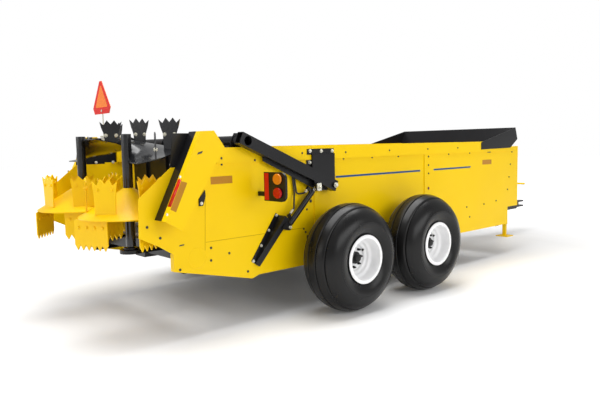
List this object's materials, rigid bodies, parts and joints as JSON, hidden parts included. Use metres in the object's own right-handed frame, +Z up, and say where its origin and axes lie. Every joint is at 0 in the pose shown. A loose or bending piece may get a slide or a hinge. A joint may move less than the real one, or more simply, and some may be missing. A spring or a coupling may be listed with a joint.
{
  "type": "manure spreader",
  "caption": "Towed box spreader on tandem wheels, with a slatted apron floor, a hydraulic lifting endgate and upright auger beaters at the rear.",
  "frame": {"origin": "On the ground, under the middle of the machine's overall length and width.", "axes": "+X forward to the hitch, +Y to the left, +Z up. The hitch pin's hole runs along Z."},
  "size_m": [7.8438, 2.944, 2.228],
  "materials": {
    "bare_steel": "mill finish",
    "black_paint": "semi-gloss black enamel",
    "chrome": "plated",
    "emblem_orange": "reflective",
    "floor_panel": "matt",
    "hose_rubber": "matt",
    "lamp_black": "matt",
    "tyre": "matt",
    "wall_paint": "gloss yellow enamel",
    "white_paint": "gloss white enamel",
    "yellow_paint": "gloss yellow enamel"
  },
  "bodies": {
    "spreader": {"apron_chains": "bare_steel", "apron_shafts": "bare_steel", "apron_slats": "bare_steel", "beater_beam": "black_paint", "chassis_rails": "black_paint", "cross_members": "black_paint", "drive_shaft": "bare_steel", "floor": "floor_panel", "front_bolster": "black_paint", "front_extension": "black_paint", "front_wall": "wall_paint", "gate_brackets_left": "black_paint", "gate_brackets_right": "black_paint", "hitch_clevis": "black_paint", "jack": "yellow_paint", "light_panel_left": "yellow_paint", "light_panel_right": "yellow_paint", "rear_bracket_left": "black_paint", "rear_bracket_right": "black_paint", "rear_side_left": "wall_paint", "rear_side_right": "wall_paint", "side_wall_left": "wall_paint", "side_wall_right": "wall_paint", "tail_lamp_left": "lamp_black", "tail_lamp_right": "lamp_black", "tandem_axle": "black_paint", "tongue_beam": "black_paint", "tongue_braces": "black_paint", "top_rail_left": "wall_paint", "top_rail_right": "wall_paint", "walking_beams": "black_paint", "warning_triangle": "emblem_orange"},
    "wheel_front_right": {"tyre_front_right": "tyre", "rim_front_right": "white_paint"},
    "wheel_front_left": {"tyre_front_left": "tyre", "rim_front_left": "white_paint"},
    "wheel_rear_right": {"tyre_rear_right": "tyre", "rim_rear_right": "white_paint"},
    "wheel_rear_left": {"tyre_rear_left": "tyre", "rim_rear_left": "white_paint"},
    "beater_right": {"beater_auger_right": "black_paint", "beater_thrower_right": "yellow_paint"},
    "beater_left": {"beater_auger_left": "black_paint", "beater_thrower_left": "yellow_paint"},
    "endgate": {"gate_arms": "black_paint", "gate_tube": "black_paint", "gate_panel": "black_paint"},
    "barrel_right": {"cylinder_barrel_right": "black_paint", "cylinder_hoses_right": "hose_rubber"},
    "barrel_left": {"cylinder_barrel_left": "black_paint", "cylinder_hoses_left": "hose_rubber"},
    "rod_right": {"cylinder_rod_right": "chrome"},
    "rod_left": {"cylinder_rod_left": "chrome"}
  },
  "joints": [
    {"name": "wheel_front_right_spin", "type": "hinge", "parent": "spreader", "child": "wheel_front_right", "pos_m": [-0.59409, -1.25, 0.5015], "axis": [0, 1, 0], "continuous": true},
    {"name": "wheel_front_left_spin", "type": "hinge", "parent": "spreader", "child": "wheel_front_left", "pos_m": [-0.59409, 1.25, 0.5015], "axis": [0, 1, 0], "continuous": true},
    {"name": "wheel_rear_right_spin", "type": "hinge", "parent": "spreader", "child": "wheel_rear_right", "pos_m": [-1.71209, -1.25, 0.5015], "axis": [0, 1, 0], "continuous": true},
    {"name": "wheel_rear_left_spin", "type": "hinge", "parent": "spreader", "child": "wheel_rear_left", "pos_m": [-1.71209, 1.25, 0.5015], "axis": [0, 1, 0], "continuous": true},
    {"name": "beater_right_spin", "type": "hinge", "parent": "spreader", "child": "beater_right", "pos_m": [-3.49309, -0.46, 1], "axis": [0, 0, 1], "continuous": true},
    {"name": "beater_left_spin", "type": "hinge", "parent": "spreader", "child": "beater_left", "pos_m": [-3.49309, 0.46, 1], "axis": [0, 0, 1], "continuous": true},
    {"name": "endgate_lift", "type": "hinge", "parent": "spreader", "child": "endgate", "pos_m": [-1.68309, 0, 1.159], "axis": [0, 1, 0], "range_deg": [0, 55]},
    {"name": "barrel_right_swing", "type": "hinge", "parent": "spreader", "child": "barrel_right", "pos_m": [-2.25109, -0.994, 0.815], "axis": [0, 1, 0], "range_deg": [-6.5, 1]},
    {"name": "rod_right_slide", "type": "slide", "parent": "barrel_right", "child": "rod_right", "axis": [0.7223, 0, 0.6916], "range_m": [0, 0.195]},
    {"name": "barrel_left_swing", "type": "hinge", "parent": "spreader", "child": "barrel_left", "pos_m": [-2.25109, 0.994, 0.815], "axis": [0, 1, 0], "range_deg": [-6.5, 1]},
    {"name": "rod_left_slide", "type": "slide", "parent": "barrel_left", "child": "rod_left", "axis": [0.7223, 0, 0.6916], "range_m": [0, 0.195]}
  ],
  "couplings": [
    {"joint": "beater_left_spin", "follows": "beater_right_spin", "ratio": -1},
    {"joint": "barrel_right_swing", "follows": "endgate_lift", "ratio": -0.1062},
    {"joint": "rod_right_slide", "follows": "endgate_lift", "m_per_rad": 0.1977},
    {"joint": "barrel_left_swing", "follows": "endgate_lift", "ratio": -0.1062},
    {"joint": "rod_left_slide", "follows": "endgate_lift", "m_per_rad": 0.1977}
  ]
}
